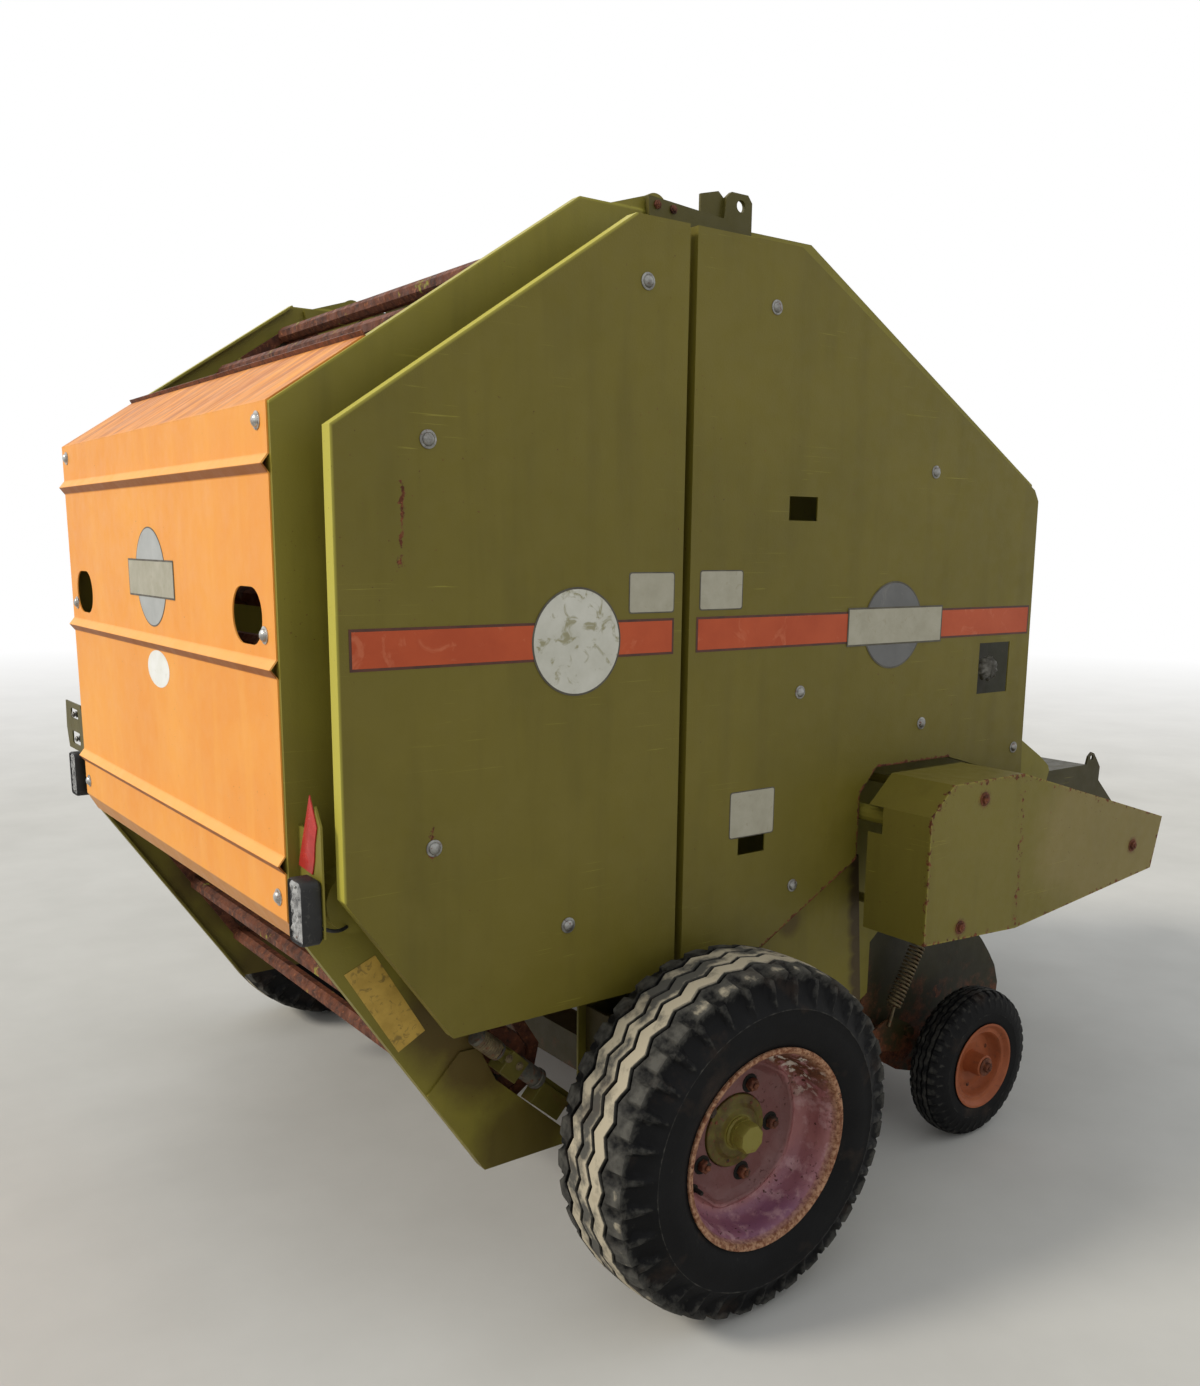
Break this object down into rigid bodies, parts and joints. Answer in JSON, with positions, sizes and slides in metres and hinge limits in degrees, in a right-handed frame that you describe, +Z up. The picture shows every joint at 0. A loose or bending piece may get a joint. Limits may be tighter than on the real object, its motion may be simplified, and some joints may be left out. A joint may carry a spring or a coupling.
{
  "type": "round baler",
  "caption": "Towed round baler with a lifting tailgate, slatted bale chamber, tined pickup on gauge wheels, side covers and a drawbar.",
  "frame": {"origin": "on the floor, in the middle of the machine's length and width", "axes": "+X forward, the way the machine is towed; +Y to its left; +Z up"},
  "size_m": [3.577, 2.298, 2.302],
  "materials": {
    "olive_paint": "weathered olive-green paint, scratched, with rust runs",
    "orange_paint": "faded orange paint with rust streaks",
    "rusty_steel": "brown rust",
    "worn_steel": "worn bright steel with rust spots",
    "tyre_rubber": "dusty black rubber",
    "pink_paint": "faded pink-red paint with rust at the rim",
    "green_paint": "worn green paint",
    "black_plastic": "dull black",
    "cast_steel": "dusty grey casting",
    "red_lens": "red reflector"
  },
  "bodies": {
    "frame": {"axle": "olive_paint", "drawbar": "olive_paint", "drive_guard": "olive_paint", "feed_floor": "rusty_steel", "front_conveyor": "rusty_steel", "front_cover_left": "olive_paint", "front_cover_right": "olive_paint", "front_cross_tubes": "rusty_steel", "front_hood": "olive_paint", "front_panel": "olive_paint", "front_plate_left": "olive_paint", "front_plate_right": "olive_paint", "front_shafts": "rusty_steel", "gearbox": "cast_steel", "hinge_bracket_left": "rusty_steel", "hinge_bracket_right": "rusty_steel", "latch_arms": "rusty_steel", "twine_box": "olive_paint"},
    "tailgate": {"tailgate_plate_right": "olive_paint", "tailgate_plate_left": "olive_paint", "rear_cover_right": "olive_paint", "rear_cover_left": "olive_paint", "rear_panel": "orange_paint", "tailgate_conveyor": "rusty_steel", "tailgate_shafts": "rusty_steel", "tail_lamps": "black_plastic", "reflectors": "red_lens"},
    "wheel_right": {"tyre_right": "tyre_rubber", "rim_right": "pink_paint", "hub_right": "green_paint"},
    "wheel_left": {"tyre_left": "tyre_rubber", "rim_left": "pink_paint", "hub_left": "green_paint"},
    "gauge_wheel_right": {"gauge_tyre_right": "tyre_rubber", "gauge_rim_right": "orange_paint"},
    "gauge_wheel_left": {"gauge_tyre_left": "tyre_rubber", "gauge_rim_left": "orange_paint"},
    "pickup": {"pickup_frame": "olive_paint", "pickup_bands": "worn_steel", "pickup_springs": "worn_steel"},
    "reel": {"pickup_reel": "worn_steel"},
    "jack_leg": {"jack_leg": "rusty_steel"},
    "twine_lid": {"twine_lid": "olive_paint"},
    "driveline": {"driveline": "black_plastic"},
    "floor_roller": {"floor_roller": "rusty_steel"},
    "barrel_right": {"cylinder_barrel_right": "black_plastic"},
    "barrel_left": {"cylinder_barrel_left": "black_plastic"},
    "rod_right": {"cylinder_rod_right": "worn_steel"},
    "rod_left": {"cylinder_rod_left": "worn_steel"}
  },
  "joints": [
    {"name": "tailgate_lift", "type": "hinge", "parent": "frame", "child": "tailgate", "pos_m": [-0.9435, 0, 2.24], "axis": [0, 1, 0], "range_deg": [0, 60]},
    {"name": "barrel_right_turn", "type": "hinge", "parent": "frame", "child": "barrel_right", "pos_m": [-0.6935, -0.783, 1.85], "axis": [0, 1, 0], "range_deg": [0, 27.27]},
    {"name": "rod_right_slide", "type": "slide", "parent": "barrel_right", "child": "rod_right", "axis": [-0.9839, 0, 0.1789], "range_m": [0, 0.28797]},
    {"name": "wheel_right_spin", "type": "hinge", "parent": "frame", "child": "wheel_right", "pos_m": [-0.9435, -1.017, 0.38], "axis": [0, 1, 0], "continuous": true},
    {"name": "gauge_wheel_right_spin", "type": "hinge", "parent": "pickup", "child": "gauge_wheel_right", "pos_m": [0.0965, -0.845, 0.205], "axis": [0, 1, 0], "continuous": true},
    {"name": "barrel_left_turn", "type": "hinge", "parent": "frame", "child": "barrel_left", "pos_m": [-0.6935, 0.783, 1.85], "axis": [0, 1, 0], "range_deg": [0, 27.27]},
    {"name": "rod_left_slide", "type": "slide", "parent": "barrel_left", "child": "rod_left", "axis": [-0.9839, 0, 0.1789], "range_m": [0, 0.28797]},
    {"name": "wheel_left_spin", "type": "hinge", "parent": "frame", "child": "wheel_left", "pos_m": [-0.9435, 1.017, 0.38], "axis": [0, 1, 0], "continuous": true},
    {"name": "gauge_wheel_left_spin", "type": "hinge", "parent": "pickup", "child": "gauge_wheel_left", "pos_m": [0.0965, 0.845, 0.205], "axis": [0, 1, 0], "continuous": true},
    {"name": "pickup_lift", "type": "hinge", "parent": "frame", "child": "pickup", "pos_m": [-0.1435, 0, 0.6], "axis": [0, -1, 0], "range_deg": [0, 20]},
    {"name": "reel_spin", "type": "hinge", "parent": "pickup", "child": "reel", "pos_m": [0.1465, 0, 0.345], "axis": [0, 1, 0], "continuous": true},
    {"name": "jack_slide", "type": "slide", "parent": "frame", "child": "jack_leg", "axis": [0, 0, 1], "range_m": [0, 0.3]},
    {"name": "twine_lid_hinge", "type": "hinge", "parent": "frame", "child": "twine_lid", "pos_m": [0.3765, 0, 1.548], "axis": [0, -1, 0], "range_deg": [0, 75]},
    {"name": "driveline_spin", "type": "hinge", "parent": "frame", "child": "driveline", "pos_m": [0.6565, 0, 0.79], "axis": [1, 0, 0], "continuous": true},
    {"name": "floor_roller_spin", "type": "hinge", "parent": "frame", "child": "floor_roller", "pos_m": [-0.8235, 0, 0.556], "axis": [0, 1, 0], "continuous": true}
  ],
  "couplings": [
    {"joint": "barrel_right_turn", "follows": "tailgate_lift", "ratio": 0.4544},
    {"joint": "rod_right_slide", "follows": "tailgate_lift", "m_per_rad": 0.2749},
    {"joint": "barrel_left_turn", "follows": "tailgate_lift", "ratio": 0.4544},
    {"joint": "rod_left_slide", "follows": "tailgate_lift", "m_per_rad": 0.2749}
  ]
}
